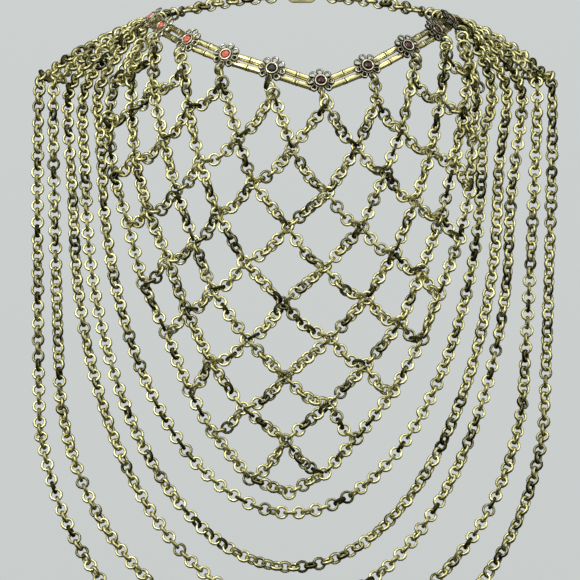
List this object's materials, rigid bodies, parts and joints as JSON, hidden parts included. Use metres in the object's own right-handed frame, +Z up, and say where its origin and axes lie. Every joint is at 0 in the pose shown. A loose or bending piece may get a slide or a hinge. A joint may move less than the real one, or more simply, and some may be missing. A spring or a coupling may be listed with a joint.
{
  "type": "bib necklace",
  "caption": "Brass bib necklace: a two-row collar of bamboo bars and flower spacers, a diamond net of cable chain and long nested chain drapes.",
  "frame": {"origin": "middle of the wearer's neck, at the height of the ends of the collar", "axes": "+Z up, -Y to the front of the necklace, +X to the right seen from the front"},
  "size_m": [0.2633, 0.1855, 0.3487],
  "materials": {
    "chain_brass": "antique, tarnished dark in the recesses",
    "bar_brass": "polished, worn",
    "flower_metal": "oxidised dark with rubbed edges",
    "orange_stone": "cut glass stone, dark orange-red",
    "garnet_stone": "cut glass stone, dark garnet",
    "thread": "waxed cord"
  },
  "bodies": {
    "root": {"flower_1": "flower_metal", "stone_1": "orange_stone", "flower_2": "flower_metal", "stone_2": "orange_stone", "flower_3": "flower_metal", "stone_3": "orange_stone", "flower_4": "flower_metal", "stone_4": "orange_stone", "flower_5": "flower_metal", "stone_5": "garnet_stone", "flower_6": "flower_metal", "stone_6": "garnet_stone", "flower_7": "flower_metal", "stone_7": "garnet_stone", "flower_8": "flower_metal", "stone_8": "garnet_stone", "flower_9": "flower_metal", "stone_9": "garnet_stone", "flower_10": "flower_metal", "stone_10": "garnet_stone", "bar_upper_1": "bar_brass", "bar_lower_1": "bar_brass", "bar_upper_2": "bar_brass", "bar_lower_2": "bar_brass", "bar_upper_3": "bar_brass", "bar_lower_3": "bar_brass", "bar_upper_4": "bar_brass", "bar_lower_4": "bar_brass", "bar_upper_5": "bar_brass", "bar_lower_5": "bar_brass", "bar_upper_6": "bar_brass", "bar_lower_6": "bar_brass", "bar_upper_7": "bar_brass", "bar_lower_7": "bar_brass", "bar_upper_8": "bar_brass", "bar_lower_8": "bar_brass", "bar_upper_9": "bar_brass", "bar_lower_9": "bar_brass", "thread_upper": "thread", "thread_lower": "thread", "chain_net": "chain_brass", "chain_drape_1": "chain_brass", "chain_drape_2": "chain_brass", "chain_drape_3": "chain_brass", "chain_drape_4": "chain_brass", "chain_drape_5": "chain_brass", "back_chain_left": "chain_brass", "back_chain_right": "chain_brass", "clasp": "chain_brass"}
  },
  "joints": []
}
